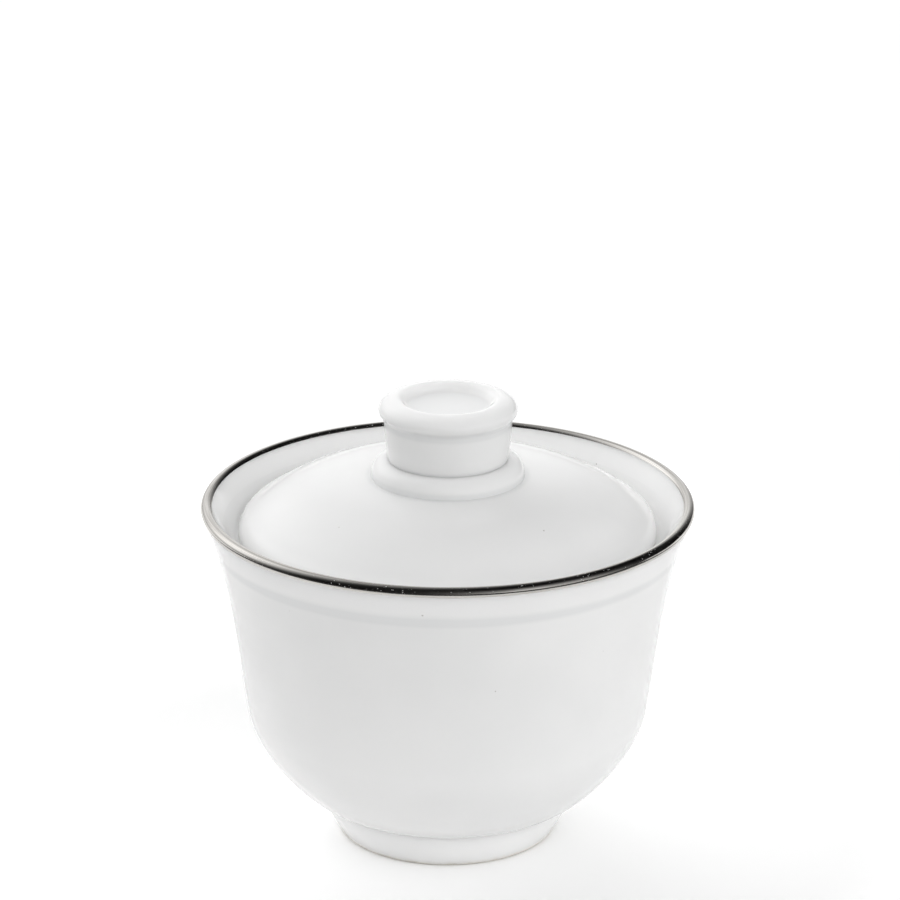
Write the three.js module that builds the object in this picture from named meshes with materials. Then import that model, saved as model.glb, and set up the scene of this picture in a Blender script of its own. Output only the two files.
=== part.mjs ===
// A small covered bowl of white porcelain: a thin bowl with a flared lip on a tapered foot ring,
// a bright metal line fired on the lip, and a domed lid with a knob that sits down inside the lip.
// Millimetres, +Z up. The origin is the middle of the standing face. Every piece is a body of
// revolution about Z, drawn as an outline of radius and height that runs anticlockwise.

import * as THREE from 'three';

// Facets round the axis, a multiple of four so that the pieces reach their full size on X and Y.
const FACETS = 48;

// Bowl
const RIM_DIAMETER = 100;
const BOWL_HEIGHT = 71.2;
const WALL = 2.5;
const FLOOR = 4;
const FLOOR_BLEND = 5;
const BELLY_DIAMETER = 81.6;
const BELLY_HEIGHT = 27;
const BELLY_LEAN = 0.154;
const LIP_LEAN = 0.42;

// Lengths of the handles that round off the bowl's side
const FOOT_PULL = 3.1;
const BELLY_PULL_DOWN = 8.4;
const BELLY_PULL_UP = 14.5;
const LIP_PULL = 14.9;

// Metal line on the lip
const LINE_THICKNESS = 0.3;

// Ledge inside the lip that the lid rests on, and the swelling of the wall that carries it. An inset is
// the distance in from the rim.
const SLOPE_LEAN = 0.6;
const LEDGE_DEPTH = 7.2;
const LEDGE_BLEND_UP = 2.4;
const LEDGE_BLEND_IN = 1.2;
const LEDGE_INSET = 9.4;
const LEDGE_PULL = 3;
const SWELL_DEPTH = 25;
const SWELL_PULL = 9;

// Foot ring
const FOOT_HEIGHT = 8.2;
const FOOT_TOP_DIAMETER = 52;
const FOOT_BASE_DIAMETER = 44.4;
const FOOT_BULGE = 0.6;
const FOOT_TREAD = 2.4;
const FOOT_EDGE_RADIUS = 0.8;
const FOOT_DRAFT = 0.9;

// Lid
const LID_INSET = 7.65;
const LID_WALL = 2.6;
const SEAT_GAP = 0.15;
const LID_EDGE_RADIUS = 0.6;
const LID_EDGE_HEIGHT = 0.75;
const SHOULDER_RADIUS = 4.2;
const SHOULDER_LEAN = 0.69;
const SHOULDER_PULL = 10.4;
const DOME_RISE = 11.76;
const DOME_LEAN = 0.04;
const DOME_PULL = 10;

// Collar on the lid and the socket in it
const COLLAR_WIDTH = 3.4;
const COLLAR_HEIGHT = 3.7;
const COLLAR_EDGE = 0.6;
const SOCKET_DEPTH = 1.5;

// Knob
const POST_DIAMETER = 24.3;
const NECK_DIAMETER = 26;
const KNOB_DIAMETER = 28;
const POST_BULGE = 0.14;
const KNOB_HEIGHT = 12.7;
const KNOB_LIP_DROP = 2.3;
const KNOB_LIP_UNDERCUT = 2.4;
const CREST_DIAMETER = 20.6;
const DISH_DIAMETER = 15.4;
const DISH_DEPTH = 1.5;

// Finishes
const GLAZE = { color: 0xf3f2ef, roughness: 0.12, metalness: 0 };
const FOOT_GLAZE = { color: 0xefece6, roughness: 0.18, metalness: 0 };
const METAL = { color: 0xc4c1bb, roughness: 0.15, metalness: 1 };

const point = (radius, height) => new THREE.Vector2(radius, height);

// The point a given distance from a start, in the direction of an angle.
function towards(start, angle, distance) {
  return point(start.x + distance * Math.cos(angle), start.y + distance * Math.sin(angle));
}

// Points of a round stretch about a centre, from one angle to another.
function arc(centre, radius, from, to, steps) {
  const curve = new THREE.EllipseCurve(centre.x, centre.y, radius, radius, from, to, to < from);
  return curve.getPoints(steps);
}

// Points along a curve, moved to its left by a distance.
function beside(curve, distance, steps) {
  const points = [];
  for (let step = 0; step <= steps; step += 1) {
    const along = curve.getTangent(step / steps);
    const place = curve.getPoint(step / steps);
    points.push(point(place.x - distance * along.y, place.y + distance * along.x));
  }
  return points;
}

// Joins stretches of an outline and leaves out points that repeat.
function outline(...stretches) {
  const least = 1e-6;
  const points = stretches.flat();
  return points.filter((place, i) => i === 0 || place.distanceTo(points[i - 1]) > least);
}

// A side that swells out by a little between two points.
function bulged(from, to, bulge) {
  const middle = from.clone().lerp(to, 0.5);
  middle.x += bulge;
  return new THREE.QuadraticBezierCurve(from, middle, to);
}

// Turns an outline about Z into a named mesh.
function turned(name, points, finish) {
  const geometry = new THREE.LatheGeometry(points, FACETS);
  geometry.rotateX(Math.PI / 2);
  const mesh = new THREE.Mesh(geometry, new THREE.MeshStandardMaterial(finish));
  mesh.name = name;
  return mesh;
}

// The bowl's side: a round stretch from the foot to the belly, then a flare from there to the lip.
const lipRadius = WALL / 2;
const lipCentre = point(RIM_DIAMETER / 2 - lipRadius, BOWL_HEIGHT - lipRadius);
const lipTilt = Math.atan(LIP_LEAN);
const bellyTilt = Math.atan(BELLY_LEAN);
const upAtLip = Math.PI / 2 - lipTilt;
const upAtBelly = Math.PI / 2 - bellyTilt;
const footTop = point(FOOT_TOP_DIAMETER / 2, FOOT_HEIGHT);
const belly = point(BELLY_DIAMETER / 2, BELLY_HEIGHT);
const lipStart = towards(lipCentre, -lipTilt, lipRadius);
const round = new THREE.CubicBezierCurve(
  footTop,
  towards(footTop, 0, FOOT_PULL),
  towards(belly, upAtBelly, -BELLY_PULL_DOWN),
  belly,
);
const flare = new THREE.CubicBezierCurve(
  belly,
  towards(belly, upAtBelly, BELLY_PULL_UP),
  towards(lipStart, upAtLip, -LIP_PULL),
  lipStart,
);

// A slope runs down and in from the lip's round to a level ledge.
const slopeTilt = Math.atan(SLOPE_LEAN);
const slopeTop = towards(lipCentre, Math.PI - slopeTilt, lipRadius);
const ledgeHeight = BOWL_HEIGHT - LEDGE_DEPTH;
const ledgeCorner = point(slopeTop.x - (slopeTop.y - ledgeHeight) * SLOPE_LEAN, ledgeHeight);
const ledgeBlend = new THREE.QuadraticBezierCurve(
  towards(ledgeCorner, Math.PI / 2 - slopeTilt, LEDGE_BLEND_UP),
  ledgeCorner,
  towards(ledgeCorner, Math.PI, LEDGE_BLEND_IN),
);
const ledgeEnd = point(RIM_DIAMETER / 2 - LEDGE_INSET, ledgeHeight);

// The round of the lip at a radius, with points where it is widest and where it is highest.
function lipRound(radius) {
  const underSteps = 1;
  const outerSteps = 3;
  const innerSteps = 2;
  return outline(
    arc(lipCentre, radius, -lipTilt, 0, underSteps),
    arc(lipCentre, radius, 0, Math.PI / 2, outerSteps),
    arc(lipCentre, radius, Math.PI / 2, Math.PI - slopeTilt, innerSteps),
  );
}

function bowlBody() {
  const roundSteps = 8;
  const flareSteps = 7;
  const blendSteps = 4;
  const swellSteps = 8;
  const floorSteps = 4;
  const floorHeight = FOOT_HEIGHT + FLOOR;
  const swellHeight = BOWL_HEIGHT - SWELL_DEPTH;
  const inside = [...beside(round, WALL, roundSteps), ...beside(flare, WALL, flareSteps)];
  const upright = inside.filter((place) => place.y > floorHeight + FLOOR_BLEND && place.y < swellHeight);
  const wallTop = upright.at(-1);
  const upAtWall = wallTop.clone().sub(upright.at(-2)).angle();
  const swell = new THREE.CubicBezierCurve(
    ledgeEnd,
    towards(ledgeEnd, Math.PI, LEDGE_PULL),
    towards(wallTop, upAtWall, SWELL_PULL),
    wallTop,
  );
  const wallFoot = upright[0];
  const slope = (upright[1].x - wallFoot.x) / (upright[1].y - wallFoot.y);
  const corner = point(wallFoot.x - slope * (wallFoot.y - floorHeight), floorHeight);
  const floor = new THREE.QuadraticBezierCurve(wallFoot, corner, point(0, floorHeight));
  return turned('bowl_body', outline(
    [point(0, FOOT_HEIGHT)],
    round.getPoints(roundSteps),
    flare.getPoints(flareSteps),
    lipRound(lipRadius - LINE_THICKNESS),
    [slopeTop],
    ledgeBlend.getPoints(blendSteps),
    swell.getPoints(swellSteps),
    upright.toReversed(),
    floor.getPoints(floorSteps),
  ), GLAZE);
}

function rimLine() {
  const outer = lipRound(lipRadius);
  const inner = lipRound(lipRadius - LINE_THICKNESS);
  return turned('rim_line', outline(outer, inner.toReversed(), [outer[0]]), METAL);
}

function footRing() {
  const edgeSteps = 3;
  const sideSteps = 4;
  const treadOuter = FOOT_BASE_DIAMETER / 2 - FOOT_EDGE_RADIUS;
  const treadInner = treadOuter - FOOT_TREAD;
  const treadEdge = point(treadOuter, FOOT_EDGE_RADIUS);
  const recessEdge = point(treadInner, FOOT_EDGE_RADIUS);
  const sideFoot = point(FOOT_BASE_DIAMETER / 2, FOOT_EDGE_RADIUS);
  const innerTop = point(treadInner - FOOT_EDGE_RADIUS + FOOT_DRAFT, FOOT_HEIGHT);
  return turned('foot_ring', outline(
    arc(treadEdge, FOOT_EDGE_RADIUS, -Math.PI / 2, 0, edgeSteps),
    bulged(sideFoot, footTop, FOOT_BULGE).getPoints(sideSteps),
    [innerTop],
    arc(recessEdge, FOOT_EDGE_RADIUS, Math.PI, Math.PI * 1.5, edgeSteps),
    [point(treadOuter, 0)],
  ), FOOT_GLAZE);
}

// The lid's flat rim stands a seat gap above the ledge. Its edges are rounded, and the outer one runs up
// into the shoulder.
const rimHeight = ledgeHeight + SEAT_GAP;
const lidRadius = RIM_DIAMETER / 2 - LID_INSET;
const outerEdge = point(lidRadius - LID_EDGE_RADIUS, rimHeight + LID_EDGE_RADIUS);
const innerEdge = point(lidRadius - LID_WALL + LID_EDGE_RADIUS, outerEdge.y);
const shoulder = point(lidRadius - SHOULDER_RADIUS, rimHeight + LID_EDGE_HEIGHT);
const shoulderEnd = Math.PI / 2 - Math.atan(SHOULDER_LEAN);

// The collar stands in the middle of the lid around the socket that takes the post.
const postRadius = POST_DIAMETER / 2;
const collarFoot = point(postRadius + COLLAR_WIDTH, shoulder.y + DOME_RISE);
const collarTop = collarFoot.y + COLLAR_HEIGHT;
const socketFloor = collarTop - SOCKET_DEPTH;

// The dome runs up from the shoulder to the collar.
const domeStart = towards(shoulder, shoulderEnd, SHOULDER_RADIUS);
const dome = new THREE.CubicBezierCurve(
  domeStart,
  towards(domeStart, shoulderEnd + Math.PI / 2, SHOULDER_PULL),
  towards(collarFoot, -Math.atan(DOME_LEAN), DOME_PULL),
  collarFoot,
);

function lidCover() {
  const rimSteps = 3;
  const shoulderSteps = 5;
  const domeSteps = 8;
  const collarSteps = 5;
  const bead = new THREE.EllipseCurve(
    postRadius,
    collarFoot.y + COLLAR_EDGE,
    COLLAR_WIDTH,
    COLLAR_HEIGHT - COLLAR_EDGE,
    0,
    Math.PI / 2,
  );
  return turned('lid_cover', outline(
    [point(0, collarFoot.y - LID_WALL)],
    beside(dome, LID_WALL, domeSteps).toReversed(),
    arc(shoulder, SHOULDER_RADIUS - LID_WALL, shoulderEnd, 0, shoulderSteps),
    arc(innerEdge, LID_EDGE_RADIUS, Math.PI, Math.PI * 1.5, rimSteps),
    arc(outerEdge, LID_EDGE_RADIUS, Math.PI * 1.5, Math.PI * 2, rimSteps),
    arc(shoulder, SHOULDER_RADIUS, 0, shoulderEnd, shoulderSteps),
    dome.getPoints(domeSteps),
    bead.getPoints(collarSteps),
    [point(postRadius, socketFloor), point(0, socketFloor)],
  ), GLAZE);
}

function lidKnob() {
  const neckSteps = 4;
  const undercutSteps = 3;
  const lipSteps = 5;
  const dishSteps = 5;
  const crest = point(CREST_DIAMETER / 2, collarTop + KNOB_HEIGHT);
  const widest = point(KNOB_DIAMETER / 2, crest.y - KNOB_LIP_DROP);
  const neck = point(NECK_DIAMETER / 2, widest.y - KNOB_LIP_UNDERCUT);
  const postTop = point(postRadius, collarTop);
  const undercut = new THREE.CubicBezierCurve(
    neck,
    towards(neck, Math.PI / 2, KNOB_LIP_UNDERCUT / 2),
    towards(widest, Math.PI / 2, -KNOB_LIP_UNDERCUT / 2),
    widest,
  );
  const lip = new THREE.EllipseCurve(crest.x, widest.y, widest.x - crest.x, KNOB_LIP_DROP, 0, Math.PI / 2);
  const dishEdge = point(DISH_DIAMETER / 2, crest.y - DISH_DEPTH);
  const slope = (crest.x - dishEdge.x) / 2;
  const dish = new THREE.CubicBezierCurve(
    crest,
    towards(crest, Math.PI, slope),
    towards(dishEdge, 0, slope),
    dishEdge,
  );
  return turned('lid_knob', outline(
    [point(0, socketFloor), point(postRadius, socketFloor)],
    bulged(postTop, neck, POST_BULGE).getPoints(neckSteps),
    undercut.getPoints(undercutSteps),
    lip.getPoints(lipSteps),
    dish.getPoints(dishSteps),
    [point(0, dishEdge.y)],
  ), GLAZE);
}

const bowl = new THREE.Group();
bowl.add(bowlBody(), footRing(), rimLine());

const lid = new THREE.Group();
lid.add(lidCover(), lidKnob());

const coveredBowl = new THREE.Group();
coveredBowl.add(bowl, lid);

export default coveredBowl;
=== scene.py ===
# %% [markdown]
# # A small covered bowl of white porcelain
#
# The bowl has a flared lip with a fired metal line on it, and it stands on a tapered foot ring. A domed
# lid with a dished knob sits down inside the lip and lifts straight off. Every piece is round, so each
# one is drawn as half an outline and turned about the upright axis, as a potter's template does it.
#
# The solid parts come first. They fix where everything is, and the smooth pieces made below take
# their main sizes from them.

# %% The solid parts
import math

import bmesh
import bpy
from mathutils import Matrix, Vector
from mathutils.geometry import interpolate_bezier


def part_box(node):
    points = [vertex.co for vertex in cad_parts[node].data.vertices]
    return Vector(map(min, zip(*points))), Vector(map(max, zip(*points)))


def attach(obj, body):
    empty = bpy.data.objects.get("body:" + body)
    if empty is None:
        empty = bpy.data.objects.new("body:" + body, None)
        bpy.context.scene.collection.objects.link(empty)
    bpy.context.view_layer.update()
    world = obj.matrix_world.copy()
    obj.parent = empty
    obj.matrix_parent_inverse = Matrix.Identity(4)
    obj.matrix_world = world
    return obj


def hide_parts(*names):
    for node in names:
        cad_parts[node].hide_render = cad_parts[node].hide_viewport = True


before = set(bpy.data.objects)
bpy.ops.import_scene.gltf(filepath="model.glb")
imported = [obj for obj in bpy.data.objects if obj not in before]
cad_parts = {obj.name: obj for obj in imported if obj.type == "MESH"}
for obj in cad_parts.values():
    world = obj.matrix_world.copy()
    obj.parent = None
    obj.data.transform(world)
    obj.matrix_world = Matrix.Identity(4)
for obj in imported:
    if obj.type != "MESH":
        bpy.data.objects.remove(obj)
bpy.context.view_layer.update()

# %% [markdown]
# ## Where the viewer stands
#
# The photograph looks down at the bowl by about twenty degrees, from far off, so the round lip shows as
# a wide, even oval. A long lens at one metre gives that. The camera is aimed above the bowl's middle,
# because the bowl sits low in the picture, and it leans a fifth of a degree, as the lip's oval does.

# %% The camera
VIEW_DISTANCE = 1.0
VIEW_ELEVATION = math.radians(19.85)
VIEW_LEAN = math.radians(0.19)
VIEW_AIM = Vector((0.00041, 0.0, 0.08184))

camera_data = bpy.data.cameras.new("viewer")
camera_data.lens = 198.4
camera_data.sensor_width = 36.0
camera_data.clip_end = 20.0
viewer = bpy.data.objects.new("viewer", camera_data)
bpy.context.scene.collection.objects.link(viewer)
step_back = Vector((0.0, -math.cos(VIEW_ELEVATION), math.sin(VIEW_ELEVATION))) * VIEW_DISTANCE
tilt = Matrix.Rotation(math.pi / 2 - VIEW_ELEVATION, 4, "X")
viewer.matrix_world = Matrix.Translation(VIEW_AIM + step_back) @ tilt @ Matrix.Rotation(VIEW_LEAN, 4, "Z")
bpy.context.scene.camera = viewer
print("camera at", [round(value, 4) for value in viewer.matrix_world.translation])

# %% [markdown]
# ## Drawing outlines and turning them
#
# An outline lives in the plane of X and Z: X is the distance from the axis and Z the height. A pen moves
# one vertex at a time. A straight stroke extrudes the vertex, a round stroke spins it about a centre,
# and a bent stroke follows a curve with two handles. One full spin of the whole outline then makes the
# piece. The spin leaves a stack of vertices on the axis, so doubles are merged, and only after that are
# the faces turned outwards.

# %% The pen and the wheel
MM = 0.001
TURN_STEPS = 192
MERGE_DISTANCE = 0.000001
CREASE_ANGLE = math.radians(38)


def spot(radius, height):
    """A point of an outline, given in millimetres."""
    return Vector((radius * MM, 0.0, height * MM))


def off(start, angle, distance):
    """The point at a distance in millimetres from a start, in the direction of an angle."""
    return start + spot(math.cos(angle), math.sin(angle)) * distance


def straight(bm, tip, *points):
    """Extrudes the pen's vertex to each point in turn."""
    for point in points:
        tip = bmesh.ops.extrude_vert_indiv(bm, verts=[tip])["verts"][0]
        tip.co = point
    return tip


def rounded(bm, tip, centre, angle, steps):
    """Spins the pen's vertex about a centre, anticlockwise for a positive angle."""
    made = bmesh.ops.spin(bm, geom=[tip], cent=centre, axis=(0, -1, 0), angle=angle, steps=steps)
    return next(item for item in made["geom_last"] if isinstance(item, bmesh.types.BMVert))


def bent(bm, tip, first_handle, last_handle, end, steps):
    """Draws a curve from the pen's vertex to an end, drawn out by two handles."""
    points = interpolate_bezier(tip.co, first_handle, last_handle, end, steps + 1)
    return straight(bm, tip, *points[1:])


def turned(bm, name):
    """Spins the outline once round the axis and makes it an object."""
    outline_points = len(bm.verts)
    bmesh.ops.spin(bm, geom=bm.verts[:] + bm.edges[:], cent=(0, 0, 0), axis=(0, 0, 1),
                   angle=math.tau, steps=TURN_STEPS, use_merge=True)
    bmesh.ops.remove_doubles(bm, verts=bm.verts[:], dist=MERGE_DISTANCE)
    bmesh.ops.recalc_face_normals(bm, faces=bm.faces[:])
    mesh = bpy.data.meshes.new(name)
    bm.to_mesh(mesh)
    bm.free()
    mesh.shade_smooth()
    mesh.set_sharp_from_angle(angle=CREASE_ANGLE)
    piece = bpy.data.objects.new(name, mesh)
    bpy.context.scene.collection.objects.link(piece)
    print(name, "from", outline_points, "outline points:", len(mesh.polygons), "faces")
    return piece


# %% [markdown]
# ## The bowl's side
#
# The bowl swells from its foot to a belly and then opens in a long flare to the lip. Two curves give
# that, and they meet at the belly in one direction, so no ring shows there. The inner wall is the same
# line moved in by the wall's thickness. Near the lip the wall swells inwards to a level ledge for the
# lid, and from the ledge a straight slope opens to the lip.

# %% The two curves of the side
WALL = 2.5
BELLY = spot(40.8, 27)
BELLY_RISE = math.pi / 2 - math.atan(0.154)
LIP_LEAN = math.atan(0.42)
LIP_RISE = math.pi / 2 - LIP_LEAN
FOOT_PULL = 3.1
BELLY_PULL_DOWN = 8.4
BELLY_PULL_UP = 14.5
LIP_PULL = 14.9
SIDE_STEPS = 40

lip_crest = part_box("rim_line")[1]
foot_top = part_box("foot_ring")[1]
RIM_RADIUS = lip_crest.x / MM
BOWL_HEIGHT = lip_crest.z / MM
FOOT_TOP_RADIUS = foot_top.x / MM
FOOT_HEIGHT = foot_top.z / MM

SLOPE_LEAN = math.atan(0.6)
LEDGE_DEPTH = 7.2
LEDGE_RADIUS = 40.6

lip_radius = WALL / 2
lip_centre = spot(RIM_RADIUS - lip_radius, BOWL_HEIGHT - lip_radius)
lip_start = off(lip_centre, -LIP_LEAN, lip_radius)
slope_top = off(lip_centre, math.pi - SLOPE_LEAN, lip_radius)
ledge_height = BOWL_HEIGHT - LEDGE_DEPTH
slope_drop = slope_top.z / MM - ledge_height
ledge_corner = slope_top - spot(slope_drop * math.tan(SLOPE_LEAN), slope_drop)
ledge_end = spot(LEDGE_RADIUS, ledge_height)
side_foot = spot(FOOT_TOP_RADIUS, FOOT_HEIGHT)
belly_curve = (side_foot, off(side_foot, 0, FOOT_PULL), off(BELLY, BELLY_RISE, -BELLY_PULL_DOWN), BELLY)
flare_curve = (BELLY, off(BELLY, BELLY_RISE, BELLY_PULL_UP), off(lip_start, LIP_RISE, -LIP_PULL), lip_start)


def inside(curve, distance):
    """Points along a curve, moved to its left by a distance in millimetres."""
    points = interpolate_bezier(*curve, SIDE_STEPS + 1)
    moved = []
    for index, point in enumerate(points):
        ahead = points[min(index + 1, SIDE_STEPS)]
        behind = points[max(index - 1, 0)]
        along = (ahead - behind).normalized()
        moved.append(point + Vector((-along.z, 0, along.x)) * distance * MM)
    return moved


print("lip radius", lip_radius, "mm, centre", [round(value / MM, 2) for value in lip_centre])

# %% [markdown]
# ## The bowl
#
# The pen starts on the axis under the bowl, runs along the flat underside to the foot, climbs the side,
# goes round the lip and comes down the inner wall to a floor that rises gently to the wall. The lip is
# drawn back by the thickness of the metal line, so that the line lies flush with the glaze.

# %% The bowl's outline
LINE_THICKNESS = 0.3
FLOOR = 4.0
FLOOR_BLEND = 6.6
LEDGE_BLEND_UP = 2.4
LEDGE_BLEND_IN = 1.2
LEDGE_PULL = 3.0
SWELL_DEPTH = 25.4
SWELL_PULL = 9.0
LIP_STEPS = 24
LEDGE_STEPS = 12
SWELL_STEPS = 32
FLOOR_STEPS = 24
lip_turn = math.pi + LIP_LEAN - SLOPE_LEAN

bm = bmesh.new()
tip = bm.verts.new(spot(0, FOOT_HEIGHT))
tip = straight(bm, tip, side_foot)
tip = bent(bm, tip, *belly_curve[1:], SIDE_STEPS)
tip = bent(bm, tip, *flare_curve[1:], SIDE_STEPS)
tip = straight(bm, tip, off(lip_centre, -LIP_LEAN, lip_radius - LINE_THICKNESS))
tip = rounded(bm, tip, lip_centre, lip_turn, LIP_STEPS)

floor_height = FOOT_HEIGHT + FLOOR
wall_low = (floor_height + FLOOR_BLEND) * MM
wall_high = (BOWL_HEIGHT - SWELL_DEPTH) * MM
inner_wall = inside(belly_curve, WALL)[:-1] + inside(flare_curve, WALL)
inner_wall = [point for point in inner_wall if wall_low < point.z < wall_high]
wall_top = inner_wall[-1]
wall_rise = (wall_top - inner_wall[-2]).normalized()
blend_start = off(ledge_corner, math.pi / 2 - SLOPE_LEAN, LEDGE_BLEND_UP)
blend_end = off(ledge_corner, math.pi, LEDGE_BLEND_IN)
tip = straight(bm, tip, slope_top, slope_top.lerp(blend_start, 0.5), blend_start)
tip = bent(bm, tip, blend_start.lerp(ledge_corner, 2 / 3), blend_end.lerp(ledge_corner, 2 / 3),
           blend_end, LEDGE_STEPS)
tip = straight(bm, tip, ledge_end)
tip = bent(bm, tip, off(ledge_end, math.pi, LEDGE_PULL), wall_top + wall_rise * SWELL_PULL * MM,
           wall_top, SWELL_STEPS)
tip = straight(bm, tip, *reversed(inner_wall[:-1]))
wall_foot, wall_next = inner_wall[0], inner_wall[1]
wall_slope = (wall_next - wall_foot) / (wall_next.z - wall_foot.z)
floor_corner = wall_foot - wall_slope * (wall_foot.z - floor_height * MM)
floor_middle = spot(0, floor_height)
tip = bent(bm, tip, wall_foot.lerp(floor_corner, 2 / 3), floor_middle.lerp(floor_corner, 2 / 3),
           floor_middle, FLOOR_STEPS)
bowl_shell = turned(bm, "bowl_shell")

# %% [markdown]
# ## The metal line
#
# A brush of liquid platinum is held on the lip while the bowl turns, and the firing leaves a thin
# bright skin. It covers the half round of the lip, so it is drawn as two half circles a little apart.

# %% The line's outline
bm = bmesh.new()
line_start = off(lip_centre, -LIP_LEAN, lip_radius)
tip = bm.verts.new(line_start)
tip = rounded(bm, tip, lip_centre, lip_turn, LIP_STEPS)
tip = straight(bm, tip, off(lip_centre, math.pi - SLOPE_LEAN, lip_radius - LINE_THICKNESS))
tip = rounded(bm, tip, lip_centre, -lip_turn, LIP_STEPS)
tip = straight(bm, tip, line_start)
lip_line = turned(bm, "lip_line")

# %% [markdown]
# ## The foot ring
#
# The foot is a ring that narrows towards the table, with a slight swell in its side. It is glazed
# except on the narrow face that stands on the kiln shelf, and that face has softly rounded edges.

# %% The foot's outline
FOOT_BASE_RADIUS = 22.2
FOOT_BULGE = 0.6
FOOT_TREAD = 2.4
FOOT_EDGE = 0.8
FOOT_DRAFT = 0.9
FOOT_STEPS = 16
EDGE_STEPS = 8

tread_outer = FOOT_BASE_RADIUS - FOOT_EDGE
tread_inner = tread_outer - FOOT_TREAD
bm = bmesh.new()
tip = bm.verts.new(spot(tread_outer, 0))
tip = rounded(bm, tip, spot(tread_outer, FOOT_EDGE), math.pi / 2, EDGE_STEPS)
swell = tip.co.lerp(side_foot, 0.5) + spot(FOOT_BULGE, 0)
tip = bent(bm, tip, tip.co.lerp(swell, 2 / 3), side_foot.lerp(swell, 2 / 3), side_foot, FOOT_STEPS)
tip = straight(bm, tip, spot(tread_inner - FOOT_EDGE + FOOT_DRAFT, FOOT_HEIGHT))
tip = straight(bm, tip, spot(tread_inner - FOOT_EDGE, FOOT_EDGE))
tip = rounded(bm, tip, spot(tread_inner, FOOT_EDGE), math.pi / 2, EDGE_STEPS)
tip = straight(bm, tip, spot(tread_outer, 0))
foot = turned(bm, "foot")

# %% [markdown]
# ## The lid
#
# The lid is a shallow dome that rolls over in a round shoulder to a flat rim, and the rim rests on the
# ledge inside the lip. A raised collar in the middle holds the knob, in a shallow socket. The dome is
# one long curve, steep at the shoulder and almost flat at the collar, and its underside is the same
# curve moved in by the lid's thickness.

# %% The lid's outline
LID_WALL = 2.6
LID_EDGE = 0.6
LID_EDGE_HEIGHT = 0.75
SHOULDER = 4.2
SHOULDER_END = math.pi / 2 - math.atan(0.69)
SHOULDER_PULL = 10.4
DOME_RISE = 11.76
DOME_LEAN = math.atan(0.04)
DOME_PULL = 10.0
POST_RADIUS = 12.15
COLLAR_WIDTH = 3.4
COLLAR_EDGE = 0.6
ROUND_HANDLE = 0.5523
SHOULDER_STEPS = 16
COLLAR_STEPS = 16

lid_low, lid_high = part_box("lid_cover")
LID_RADIUS = lid_high.x / MM
rim_height = lid_low.z / MM
outer_edge = spot(LID_RADIUS - LID_EDGE, rim_height + LID_EDGE)
inner_edge = outer_edge - spot(LID_WALL - 2 * LID_EDGE, 0)
shoulder = spot(LID_RADIUS - SHOULDER, rim_height + LID_EDGE_HEIGHT)
collar_foot = spot(POST_RADIUS + COLLAR_WIDTH, shoulder.z / MM + DOME_RISE)
collar_side = collar_foot + spot(0, COLLAR_EDGE)
collar_crest = spot(POST_RADIUS, lid_high.z / MM)
collar_corner = Vector((collar_side.x, 0, collar_crest.z))
socket_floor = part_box("lid_knob")[0].z / MM
dome_start = off(shoulder, SHOULDER_END, SHOULDER)
dome_curve = (dome_start, off(dome_start, SHOULDER_END + math.pi / 2, SHOULDER_PULL),
              off(collar_foot, -DOME_LEAN, DOME_PULL), collar_foot)
hollow = list(reversed(inside(dome_curve, LID_WALL)))

bm = bmesh.new()
tip = bm.verts.new(spot(0, collar_foot.z / MM - LID_WALL))
tip = straight(bm, tip, *hollow)
tip = rounded(bm, tip, shoulder, -SHOULDER_END, SHOULDER_STEPS)
tip = straight(bm, tip, inner_edge - spot(LID_EDGE, 0))
tip = rounded(bm, tip, inner_edge, math.pi / 2, EDGE_STEPS)
tip = straight(bm, tip, outer_edge - spot(0, LID_EDGE))
tip = rounded(bm, tip, outer_edge, math.pi / 2, EDGE_STEPS)
tip = straight(bm, tip, shoulder + spot(SHOULDER, 0))
tip = rounded(bm, tip, shoulder, SHOULDER_END, SHOULDER_STEPS)
tip = bent(bm, tip, *dome_curve[1:], SIDE_STEPS)
tip = straight(bm, tip, collar_side)
tip = bent(bm, tip, collar_side.lerp(collar_corner, ROUND_HANDLE),
           collar_crest.lerp(collar_corner, ROUND_HANDLE), collar_crest, COLLAR_STEPS)
tip = straight(bm, tip, spot(POST_RADIUS, socket_floor), spot(0, socket_floor))
lid_dome = turned(bm, "lid_dome")

# %% [markdown]
# ## The knob
#
# The knob is a short post that widens upwards into a rounded rim, and its top is dished so that it can
# serve as a foot when the lid is laid upside down. Its end sits in the socket of the collar.

# %% The knob's outline
NECK_RADIUS = 13.0
POST_BULGE = 0.14
LIP_DROP = 2.3
LIP_UNDERCUT = 2.4
CREST_RADIUS = 10.3
DISH_RADIUS = 7.7
DISH_DEPTH = 1.5
POST_STEPS = 16
KNOB_STEPS = 14

knob_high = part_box("lid_knob")[1]
crest = spot(CREST_RADIUS, knob_high.z / MM)
widest = spot(knob_high.x / MM, knob_high.z / MM - LIP_DROP)
neck = spot(NECK_RADIUS, widest.z / MM - LIP_UNDERCUT)
post_top = collar_crest.copy()
post_swell = post_top.lerp(neck, 0.5) + spot(POST_BULGE, 0)
knob_corner = Vector((widest.x, 0, crest.z))
dish_edge = spot(DISH_RADIUS, crest.z / MM - DISH_DEPTH)
dish_half = (CREST_RADIUS - DISH_RADIUS) / 2
up = math.pi / 2

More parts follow.
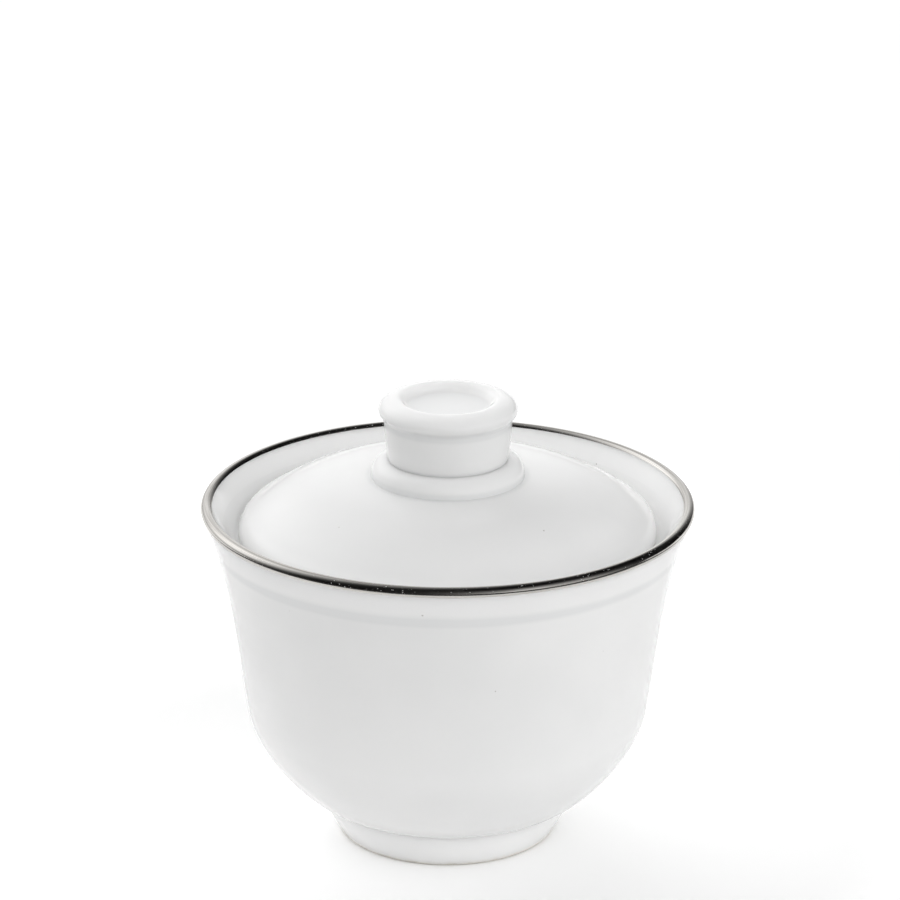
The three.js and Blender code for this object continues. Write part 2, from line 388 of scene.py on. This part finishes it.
bm = bmesh.new()
tip = bm.verts.new(spot(0, socket_floor))
tip = straight(bm, tip, spot(POST_RADIUS, socket_floor), post_top)
tip = bent(bm, tip, post_top.lerp(post_swell, 2 / 3), neck.lerp(post_swell, 2 / 3), neck, POST_STEPS)
tip = bent(bm, tip, off(neck, up, LIP_UNDERCUT / 2), off(widest, up, -LIP_UNDERCUT / 2), widest, KNOB_STEPS)
tip = bent(bm, tip, widest.lerp(knob_corner, ROUND_HANDLE), crest.lerp(knob_corner, ROUND_HANDLE),
           crest, KNOB_STEPS)
tip = bent(bm, tip, off(crest, math.pi, dish_half), off(dish_edge, 0, dish_half), dish_edge, KNOB_STEPS)
tip = straight(bm, tip, spot(0, dish_edge.z / MM))
knob = turned(bm, "knob")

# %% [markdown]
# ## Help with shader nodes
#
# The finishes below are built from nodes. A node group is a small tool with named sockets that several
# finishes share. Everything in them is placed by object coordinates. The pieces all have their origin
# at the middle of the standing face, so these are metres from there, and the finish moves with its piece.

# %% Node helpers


def node(tree, kind, **settings):
    """Adds a node to a tree and sets its properties."""
    made = tree.nodes.new("ShaderNode" + kind)
    for name, value in settings.items():
        setattr(made, name, value)
    return made


def fill(tree, made, **values):
    """Gives sockets their values or their links. Underscores in a name stand for spaces."""
    for name, value in values.items():
        socket = made.inputs[name.replace("_", " ")]
        if isinstance(value, bpy.types.NodeSocket):
            tree.links.new(value, socket)
        else:
            socket.default_value = value
    return made


def sums(tree, operation, first, second):
    """The result of one piece of arithmetic on two values."""
    made = node(tree, "Math", operation=operation)
    for socket, value in zip(made.inputs, (first, second)):
        if isinstance(value, bpy.types.NodeSocket):
            tree.links.new(value, socket)
        else:
            socket.default_value = value
    return made.outputs["Value"]


def ramp(tree, value, low, high, start=0.0, end=1.0):
    """A value that goes smoothly from a start to an end while another goes from low to high."""
    made = node(tree, "MapRange", interpolation_type="SMOOTHSTEP")
    fill(tree, made, Value=value, From_Min=low, From_Max=high, To_Min=start, To_Max=end)
    return made.outputs["Result"]


def noise(tree, place, scale, detail):
    """Soft noise with a grain of about one over the scale, in metres."""
    made = fill(tree, node(tree, "TexNoise"), Vector=place, Scale=scale, Detail=detail)
    return made.outputs["Fac"]


def blend(tree, mask, first, second):
    """The first colour where the mask is nought and the second where it is one."""
    made = node(tree, "Mix", data_type="RGBA")
    for name, value in (("Factor", mask), ("A", first), ("B", second)):
        socket = next(item for item in made.inputs if item.name == name and item.enabled)
        if isinstance(value, bpy.types.NodeSocket):
            tree.links.new(value, socket)
        else:
            socket.default_value = value
    return next(item for item in made.outputs if item.enabled)


def new_group(name, inputs, outputs):
    """A node group with named sockets, and its two end nodes."""
    tree = bpy.data.node_groups.new(name, "ShaderNodeTree")
    for direction, sockets in (("INPUT", inputs), ("OUTPUT", outputs)):
        for socket_name, kind in sockets.items():
            tree.interface.new_socket(socket_name, in_out=direction, socket_type="NodeSocket" + kind)
    print("group", name, "gives", ", ".join(outputs))
    return tree, tree.nodes.new("NodeGroupInput").outputs, tree.nodes.new("NodeGroupOutput")


def used(tree, name, **values):
    """Puts a node group into a tree."""
    made = node(tree, "Group", node_tree=bpy.data.node_groups[name])
    return fill(tree, made, **values).outputs


# %% [markdown]
# ## How a glaze lies on porcelain
#
# Melted glaze is never quite even. It flows while it is hot, so its thickness changes slowly over a few
# centimetres, and thicker glaze is a touch greyer. Its skin keeps a faint dimpling like orange peel,
# which shows only in the reflections. The group gives the tone, the roughness and the height of that skin.

# %% Group: glaze flow
tree, given, result = new_group(
    "glaze flow",
    {"Place": "Vector", "Thin Colour": "Color", "Thick Colour": "Color", "Pooling": "Float"},
    {"Colour": "Color", "Roughness": "Float", "Height": "Float"})
drift = noise(tree, given["Place"], 28.0, 2.0)
dimples = noise(tree, given["Place"], 210.0, 1.0)
smears = noise(tree, given["Place"], 90.0, 3.0)
# The Pooling input brings pooled glaze together with the painted shade and painted light of the finishes
# below.
thickness = sums(tree, "ADD", ramp(tree, drift, 0.3, 0.7, 0.0, 0.5), given["Pooling"])
polish = sums(tree, "ADD", ramp(tree, smears, 0.35, 0.7, 0.07, 0.13), sums(tree, "MULTIPLY", drift, 0.03))
skin = sums(tree, "ADD", sums(tree, "MULTIPLY", drift, 3.0), dimples)
fill(tree, result, Colour=blend(tree, thickness, given["Thin Colour"], given["Thick Colour"]),
     Roughness=polish, Height=skin)

# %% [markdown]
# ## Specks from the kiln
#
# A few specks of iron and ash land in every glaze. They are a tenth or two of a millimetre wide, grey
# brown and rare. Cells of a Voronoi pattern place them, and only the cells with the highest random value
# keep theirs.

# %% Group: kiln specks
tree, given, result = new_group(
    "kiln specks",
    {"Place": "Vector", "Glaze Colour": "Color", "Speck Colour": "Color"},
    {"Colour": "Color", "Speck": "Float"})
cells = fill(tree, node(tree, "TexVoronoi"), Vector=given["Place"], Scale=420.0)
luck = fill(tree, node(tree, "SeparateColor"), Color=cells.outputs["Color"])
lucky = sums(tree, "GREATER_THAN", luck.outputs["Red"], 0.965)
size = ramp(tree, luck.outputs["Green"], 0.0, 1.0, 0.03, 0.09)
dot = sums(tree, "LESS_THAN", cells.outputs["Distance"], size)
speck = sums(tree, "MULTIPLY", sums(tree, "MULTIPLY", dot, lucky), 0.55)
fill(tree, result, Colour=blend(tree, speck, given["Glaze Colour"], given["Speck Colour"]), Speck=speck)

# %% [markdown]
# ## Bare porcelain
#
# Where a piece stands on the kiln shelf its glaze is wiped off, or it would stick. The bare porcelain is
# matt and slightly warm, with a fine grain. The edge of the glaze wanders by a few tenths of a
# millimetre, and the group bends its mask with noise to do the same.

# %% Group: bare porcelain
tree, given, result = new_group(
    "bare porcelain",
    {"Place": "Vector", "Glaze Colour": "Color", "Glaze Roughness": "Float", "Glaze Height": "Float",
     "Height Up": "Float", "Glaze Line": "Float"},
    {"Colour": "Color", "Roughness": "Float", "Height": "Float"})
wander = sums(tree, "MULTIPLY", sums(tree, "SUBTRACT", noise(tree, given["Place"], 260.0, 2.0), 0.5), 0.0011)
above = sums(tree, "SUBTRACT", sums(tree, "ADD", given["Height Up"], wander), given["Glaze Line"])
bare = ramp(tree, above, -0.00012, 0.00012, 1.0, 0.0)
grain = noise(tree, given["Place"], 3200.0, 3.0)
clay = blend(tree, ramp(tree, grain, 0.35, 0.7), (0.70, 0.67, 0.61, 1), (0.80, 0.775, 0.72, 1))
bare_rough = ramp(tree, grain, 0.3, 0.7, 0.55, 0.75)
keep = sums(tree, "SUBTRACT", 1.0, bare)
rough = sums(tree, "ADD", sums(tree, "MULTIPLY", bare, bare_rough),
             sums(tree, "MULTIPLY", keep, given["Glaze Roughness"]))
relief = sums(tree, "ADD", sums(tree, "MULTIPLY", bare, grain),
              sums(tree, "MULTIPLY", keep, given["Glaze Height"]))
fill(tree, result, Colour=blend(tree, bare, given["Glaze Colour"], clay), Roughness=rough, Height=relief)

# %% [markdown]
# ## The white glaze of the bowl
#
# The bowl's glaze is darker on the floor inside and in the corner above the foot, as pooled glaze and
# painted shade. Below the metal line a lighter band is painted light, and a fine greyer line under it is
# painted shade. The turning tool's rings show faintly through it as a change of height.
# Porcelain is slightly translucent, so some of the light wanders a few millimetres inside it.

# %% Finish: the bowl
THIN_GLAZE = (0.93, 0.93, 0.925, 1)
# The thick colour serves both thicker glaze and painted shade.
THICK_GLAZE_AND_SHADE = (0.84, 0.845, 0.845, 1)
SPECK = (0.36, 0.33, 0.29, 1)
SKIN_DEPTH = 0.000012
TRANSLUCENCY = 0.6
LIGHT_DEPTH = 0.004


def glazed(name):
    """A new material with its shader, its place in metres, its height and its distance from the axis."""
    material = bpy.data.materials.new(name)
    material.use_nodes = True
    tree = material.node_tree
    shader = tree.nodes["Principled BSDF"]
    shader.inputs["IOR"].default_value = 1.5
    shader.inputs["Subsurface Weight"].default_value = TRANSLUCENCY
    shader.inputs["Subsurface Radius"].default_value = (1, 1, 1)
    shader.inputs["Subsurface Scale"].default_value = LIGHT_DEPTH
    place = node(tree, "TexCoord").outputs["Object"]
    parts = fill(tree, node(tree, "SeparateXYZ"), Vector=place).outputs
    flat = fill(tree, node(tree, "CombineXYZ"), X=parts["X"], Y=parts["Y"])
    across = fill(tree, node(tree, "VectorMath", operation="LENGTH"), Vector=flat.outputs["Vector"])
    return material, tree, shader, place, parts["Z"], across.outputs["Value"]


def finish_skin(tree, shader, colour, roughness, height, depth):
    """Joins the colour, the roughness and the height of a skin to the shader."""
    bump = fill(tree, node(tree, "Bump"), Height=height, Distance=depth, Strength=1.0)
    fill(tree, shader, Base_Color=colour, Roughness=roughness, Normal=bump.outputs["Normal"])


bowl_glaze, tree, shader, place, height, across = glazed("bowl glaze")
# Painted shade with pooled glaze: darker on the inside floor and in the corner above the foot.
inner_floor_pool_and_shade = sums(tree, "MULTIPLY", ramp(tree, across, 0.024, 0.031, 1.0, 0.0),
                   ramp(tree, height, 0.0135, 0.0175, 0.9, 0.0))
foot_corner_pool_and_shade = ramp(tree, height, 0.0084, 0.0105, 0.8, 0.0)
# Painted light and painted shade below the metal line: a lighter band, then a greyer line under it.
painted_light_band = sums(tree, "MULTIPLY", ramp(tree, height, 0.0640, 0.0656), -0.5)
painted_shade_line = sums(tree, "MULTIPLY", ramp(tree, height, 0.0616, 0.0630, 0.0, 0.9),
            ramp(tree, height, 0.0633, 0.0647, 1.0, 0.0))
outside = sums(tree, "GREATER_THAN", across, 0.0455)
painted_lip_light_and_shade = sums(tree, "MULTIPLY", sums(tree, "ADD", painted_light_band, painted_shade_line), outside)
pooling_and_painted_light = sums(tree, "ADD", sums(tree, "MAXIMUM", inner_floor_pool_and_shade, foot_corner_pool_and_shade), painted_lip_light_and_shade)
flow = used(tree, "glaze flow", Place=place, Thin_Colour=THIN_GLAZE, Thick_Colour=THICK_GLAZE_AND_SHADE, Pooling=pooling_and_painted_light)
specks = used(tree, "kiln specks", Place=place, Glaze_Colour=flow["Colour"], Speck_Colour=SPECK)
rings = fill(tree, node(tree, "TexWave", bands_direction="Z"), Vector=place, Scale=90.0, Distortion=1.2)
skin = sums(tree, "ADD", flow["Height"], sums(tree, "MULTIPLY", rings.outputs["Fac"], 0.35))
finish_skin(tree, shader, specks["Colour"], flow["Roughness"], skin, SKIN_DEPTH)
print("bowl glaze:", len(tree.nodes), "nodes")

# %% [markdown]
# ## The foot's glaze
#
# The same glaze runs down the foot and stops just above the standing face, which is bare. The foot is
# painted lighter than the bowl, as painted light for the light the paper throws up, fading to the bowl's
# tone under the belly. The glaze is a little thinner at the lower edge, where a warm line of the porcelain
# shows through.

# %% Finish: the foot
# The foot's glaze colour is lighter than the bowl's: painted light for the light the paper throws up.
FOOT_GLAZE_PAINTED_LIGHT = (0.955, 0.955, 0.95, 1)
EDGE_GLAZE = (0.86, 0.845, 0.81, 1)
GLAZE_LINE = 0.00055

foot_glaze, tree, shader, place, height, across = glazed("foot glaze")
# The foot's painted light fades to the bowl's tone near the top of the foot.
foot_light_fade = ramp(tree, height, 0.0068, 0.0082, 0.0, 0.8)
flow = used(tree, "glaze flow", Place=place, Thin_Colour=FOOT_GLAZE_PAINTED_LIGHT, Thick_Colour=THIN_GLAZE, Pooling=foot_light_fade)
warm = blend(tree, ramp(tree, height, 0.0006, 0.0013, 0.7, 0.0), flow["Colour"], EDGE_GLAZE)
specks = used(tree, "kiln specks", Place=place, Glaze_Colour=warm, Speck_Colour=SPECK)
stand = used(tree, "bare porcelain", Place=place, Glaze_Colour=specks["Colour"],
             Glaze_Roughness=flow["Roughness"], Glaze_Height=flow["Height"], Height_Up=height,
             Glaze_Line=GLAZE_LINE)
finish_skin(tree, shader, stand["Colour"], stand["Roughness"], stand["Height"], SKIN_DEPTH)
print("foot glaze:", len(tree.nodes), "nodes")

# %% [markdown]
# ## The lid's glaze
#
# The lid was fired standing on its rim, so the underside of the rim is bare. The glaze is darker in the
# corner at the foot of the collar, as pooled glaze and painted shade, and lighter over the outer part of
# the round shoulder, which is painted light.

# %% Finish: the lid
lid_glaze, tree, shader, place, height, across = glazed("lid glaze")
rim_line_height = lid_low.z + 0.0002
# Painted shade with pooled glaze: darker in the corner at the foot of the collar.
from_corner = sums(tree, "ABSOLUTE", sums(tree, "SUBTRACT", across, collar_foot.x), 0.0)
collar_corner_pool_and_shade = sums(tree, "MULTIPLY", ramp(tree, from_corner, 0.0, 0.0016, 0.9, 0.0),
              ramp(tree, height, collar_foot.z + 0.0006, collar_foot.z + 0.0016, 1.0, 0.0))
# Painted light: lighter glaze over the outer part of the lid's shoulder.
shoulder_painted_light = ramp(tree, across, 0.0385, 0.0415, 0.0, -0.3)
pooling_and_painted_light = sums(tree, "ADD", collar_corner_pool_and_shade, shoulder_painted_light)
flow = used(tree, "glaze flow", Place=place, Thin_Colour=THIN_GLAZE, Thick_Colour=THICK_GLAZE_AND_SHADE, Pooling=pooling_and_painted_light)
specks = used(tree, "kiln specks", Place=place, Glaze_Colour=flow["Colour"], Speck_Colour=SPECK)
rim = used(tree, "bare porcelain", Place=place, Glaze_Colour=specks["Colour"],
           Glaze_Roughness=flow["Roughness"], Glaze_Height=flow["Height"], Height_Up=height,
           Glaze_Line=rim_line_height)
finish_skin(tree, shader, rim["Colour"], rim["Roughness"], rim["Height"], SKIN_DEPTH)
print("lid glaze:", len(tree.nodes), "nodes")

# %% [markdown]
# ## The knob's glaze
#
# Fingers and the table have worn the knob's rim a little, so it is smoother there and the glaze is
# thin. The glaze is darker in the dish and in the joint with the collar, as pooled glaze and painted
# shade, and darker under the rim, which is painted shade.

# %% Finish: the knob
knob_glaze, tree, shader, place, height, across = glazed("knob glaze")
# Painted shade with pooled glaze: darker in the dish and at the joint with the collar.
dish_pool_and_shade = sums(tree, "MULTIPLY", ramp(tree, across, 0.0068, 0.0088, 1.0, 0.0),
               ramp(tree, height, crest.z - 0.0013, crest.z - 0.0004, 1.0, 0.0))
joint_pool_and_shade = ramp(tree, height, collar_crest.z, collar_crest.z + 0.0009, 0.8, 0.0)
# Painted shade: a darker band under the knob's rim.
painted_shade_under_rim = sums(tree, "MULTIPLY", ramp(tree, height, crest.z - 0.0058, crest.z - 0.0046),
                 ramp(tree, height, crest.z - 0.0042, crest.z - 0.0030, 1.0, 0.0))
worn = ramp(tree, height, crest.z - 0.0009, crest.z, 0.0, 1.0)
pools_and_shade = sums(tree, "MAXIMUM", sums(tree, "MAXIMUM", dish_pool_and_shade, joint_pool_and_shade), painted_shade_under_rim)
pooling_and_painted_light = sums(tree, "SUBTRACT", pools_and_shade, sums(tree, "MULTIPLY", worn, 0.3))
flow = used(tree, "glaze flow", Place=place, Thin_Colour=THIN_GLAZE, Thick_Colour=THICK_GLAZE_AND_SHADE, Pooling=pooling_and_painted_light)
specks = used(tree, "kiln specks", Place=place, Glaze_Colour=flow["Colour"], Speck_Colour=SPECK)
scuffs = ramp(tree, noise(tree, place, 900.0, 4.0), 0.52, 0.66, 0.0, 0.1)
polish = sums(tree, "ADD", flow["Roughness"], sums(tree, "MULTIPLY", worn, scuffs))
finish_skin(tree, shader, specks["Colour"], polish, flow["Height"], SKIN_DEPTH)
print("knob glaze:", len(tree.nodes), "nodes")

# %% [markdown]
# ## The platinum line
#
# The line is painted with a brush on the turning bowl. Its hairs leave fine streaks that run round with
# the lip, and its two edges waver. After firing the metal is bright, with small worn spots where the
# glaze shows through. The streaks come from noise that is fine across the lip and long round it.

# %% Finish: the line
PLATINUM = (0.72, 0.70, 0.67, 1)
DULL_PLATINUM = (0.55, 0.53, 0.50, 1)

platinum, tree, shader, place, height, across = glazed("platinum line")
parts = fill(tree, node(tree, "SeparateXYZ"), Vector=place).outputs
hair = fill(tree, node(tree, "CombineXYZ"), X=sums(tree, "MULTIPLY", across, 60.0),
            Y=sums(tree, "MULTIPLY", height, 60.0), Z=sums(tree, "ADD", parts["X"], parts["Y"]))
streaks = noise(tree, hair.outputs["Vector"], 90.0, 3.0)
clouds = noise(tree, place, 160.0, 3.0)
spots = noise(tree, place, 2600.0, 2.0)
worn = ramp(tree, sums(tree, "ADD", sums(tree, "MULTIPLY", spots, 0.75), sums(tree, "MULTIPLY", clouds, 0.25)),
            0.66, 0.70)
metal = blend(tree, ramp(tree, streaks, 0.3, 0.7), PLATINUM, DULL_PLATINUM)
metallic = sums(tree, "SUBTRACT", 1.0, worn)
polish = sums(tree, "ADD", ramp(tree, streaks, 0.3, 0.7, 0.08, 0.17), sums(tree, "MULTIPLY", clouds, 0.06))
fill(tree, shader, Metallic=metallic)
finish_skin(tree, shader, blend(tree, worn, metal, THIN_GLAZE), polish, streaks, 0.000006)
print("platinum line:", len(tree.nodes), "nodes")

# %% [markdown]
# ## The floor
#
# The bowl stands on a round sheet of white paper on a dark table. The paper throws light up at the foot
# and the belly. The table is dark so that the glaze and the metal line have something dark to reflect,
# which is what makes them look polished. The camera is shown white instead of the table. Reflections are
# shown that white too, but only behind the bowl, where the camera looks. The paper keeps the shadow.

# %% The floor
PAPER_RADIUS = 0.18
PAPER_FADE = 0.06
PAPER_GLOW = 0.09
SHADOW_RADIUS = 0.08
WHITE_FROM = 0.06
WHITE_FULL = 0.2

floor_finish = bpy.data.materials.new("paper on a table")
floor_finish.use_nodes = True
tree = floor_finish.node_tree
tree.nodes.clear()
place = node(tree, "TexCoord").outputs["Object"]
distance = fill(tree, node(tree, "VectorMath", operation="LENGTH"), Vector=place).outputs["Value"]
depth = fill(tree, node(tree, "SeparateXYZ"), Vector=place).outputs["Y"]
table = ramp(tree, distance, PAPER_RADIUS, PAPER_RADIUS + PAPER_FADE)
sheet = blend(tree, table, (0.95, 0.95, 0.95, 1), (0.03, 0.03, 0.03, 1))
matt = fill(tree, node(tree, "BsdfDiffuse"), Color=sheet)
ray = node(tree, "LightPath").outputs
reflected = sums(tree, "MULTIPLY", ray["Is Glossy Ray"], ramp(tree, depth, WHITE_FROM, WHITE_FULL))
straight_on = sums(tree, "MAXIMUM", ray["Is Camera Ray"], ray["Is Transmission Ray"])
seen = sums(tree, "MAXIMUM", straight_on, reflected)
glow = sums(tree, "MULTIPLY", seen, ramp(tree, distance, SHADOW_RADIUS, PAPER_RADIUS, PAPER_GLOW, 1.0))
white = fill(tree, node(tree, "Emission"), Strength=glow)
both = node(tree, "AddShader")
tree.links.new(matt.outputs["BSDF"], both.inputs[0])
tree.links.new(white.outputs["Emission"], both.inputs[1])
tree.links.new(both.outputs["Shader"], node(tree, "OutputMaterial").inputs["Surface"])

bm = bmesh.new()
bmesh.ops.create_grid(bm, x_segments=1, y_segments=1, size=3.0)
floor_mesh = bpy.data.meshes.new("floor")
bm.to_mesh(floor_mesh)
bm.free()
floor_mesh.materials.append(floor_finish)
floor = bpy.data.objects.new("floor", floor_mesh)
bpy.context.scene.collection.objects.link(floor)
print("floor of", len(floor_mesh.polygons), "face, paper of radius", PAPER_RADIUS)

# %% [markdown]
# ## The light
#
# The studio is made of a few broad, soft lamps far away, painted on the world. A lamp is bright in one
# direction and fades round it, and its tightness says how fast. The strongest two stand low on the left,
# like a window, and behind on the left. One high in front and two on the right fill the shadows.

# %% Group: soft lamp
tree, given, result = new_group("soft lamp", {"Towards": "Vector", "Tightness": "Float"}, {"Light": "Float"})
facing = node(tree, "VectorMath", operation="DOT_PRODUCT")
tree.links.new(node(tree, "TexCoord").outputs["Generated"], facing.inputs[0])
tree.links.new(given["Towards"], facing.inputs[1])
lit = sums(tree, "POWER", sums(tree, "MAXIMUM", facing.outputs["Value"], 0.0), given["Tightness"])
fill(tree, result, Light=lit)

# %% [markdown]
# Matt white ware and polished surfaces are lit by two versions of the studio. The matt shading wants wide
# lamps all round. The mirror of the metal line wants dark walls with few bright patches in them, as when
# a photographer stands black cards around a shiny object. The white backdrop behind the bowl is one of
# those patches, so the metal shows it too. The camera itself sees plain white.

# %% The studio
WINDOW = (-105, 10)
BACK_LEFT = (-160, 15)
FRONT_TOP = (0, 45)
FRONT_RIGHT = (36, 5)
RIGHT = (72, 8)
BACK_RIGHT = (140, 8)
BACKDROP = (180, 30)
MIRROR_WINDOW = (-132, 30)
MIRROR_FRONT = (45, 0)
MIRROR_BACKDROP = (180, 10)


def lamps(tree, *settings):
    """The light of several lamps, each with a place in degrees, a tightness and a strength."""
    total = 0.0
    for (azimuth, elevation), tightness, strength in settings:
        side, rise = math.radians(azimuth), math.radians(elevation)
        towards = (math.sin(side) * math.cos(rise), -math.cos(side) * math.cos(rise), math.sin(rise))
        light = used(tree, "soft lamp", Towards=towards, Tightness=tightness)["Light"]
        total = sums(tree, "ADD", sums(tree, "MULTIPLY", light, strength), total)
    return total


world = bpy.data.worlds.new("studio")
world.use_nodes = True
tree = world.node_tree
shading = tree.nodes["Background"]
fill(tree, shading, Strength=lamps(
    tree, (WINDOW, 6, 2.4), (BACK_LEFT, 8, 3.3), (FRONT_TOP, 6, 1.6), (FRONT_RIGHT, 5, 1.2),
    (RIGHT, 5, 1.4), (BACK_RIGHT, 6, 0.8), (BACKDROP, 6, 1.05)))
shading.inputs["Color"].default_value = (1, 1, 1, 1)
mirror = node(tree, "Background")
fill(tree, mirror, Strength=lamps(
    tree, (MIRROR_WINDOW, 7, 1.5), (MIRROR_FRONT, 6, 0.7), (MIRROR_BACKDROP, 18, 1.0)))
mirror.inputs["Color"].default_value = (1, 1, 1, 1)
backdrop = node(tree, "Background")
backdrop.inputs["Color"].default_value = (1, 1, 1, 1)
ray = node(tree, "LightPath").outputs
polished = node(tree, "MixShader")
tree.links.new(ray["Is Glossy Ray"], polished.inputs[0])
tree.links.new(shading.outputs["Background"], polished.inputs[1])
tree.links.new(mirror.outputs["Background"], polished.inputs[2])
view = node(tree, "MixShader")
tree.links.new(sums(tree, "MAXIMUM", ray["Is Camera Ray"], ray["Is Transmission Ray"]), view.inputs[0])
tree.links.new(polished.outputs["Shader"], view.inputs[1])
tree.links.new(backdrop.outputs["Background"], view.inputs[2])
tree.links.new(view.outputs["Shader"], tree.nodes["World Output"].inputs["Surface"])
bpy.context.scene.world = world
print("studio:", len(tree.nodes), "nodes")

# %% [markdown]
# ## Putting it together
#
# Each piece gets its finish and rides on the body it belongs to. The bowl, its foot and the line stay
# where they are, and the lid and its knob lift off together.

# %% Put the pieces on their bodies
for piece, solid, body, slot, finish in [
    (bowl_shell, "bowl_body", "bowl", "glaze", bowl_glaze),
    (foot, "foot_ring", "bowl", "foot", foot_glaze),
    (lip_line, "rim_line", "bowl", "line", platinum),
    (lid_dome, "lid_cover", "lid", "glaze", lid_glaze),
    (knob, "lid_knob", "lid", "glaze", knob_glaze),
]:
    piece.data.materials.append(finish)
    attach(piece, body)
    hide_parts(solid)

bpy.context.scene.view_settings.view_transform = "Standard"
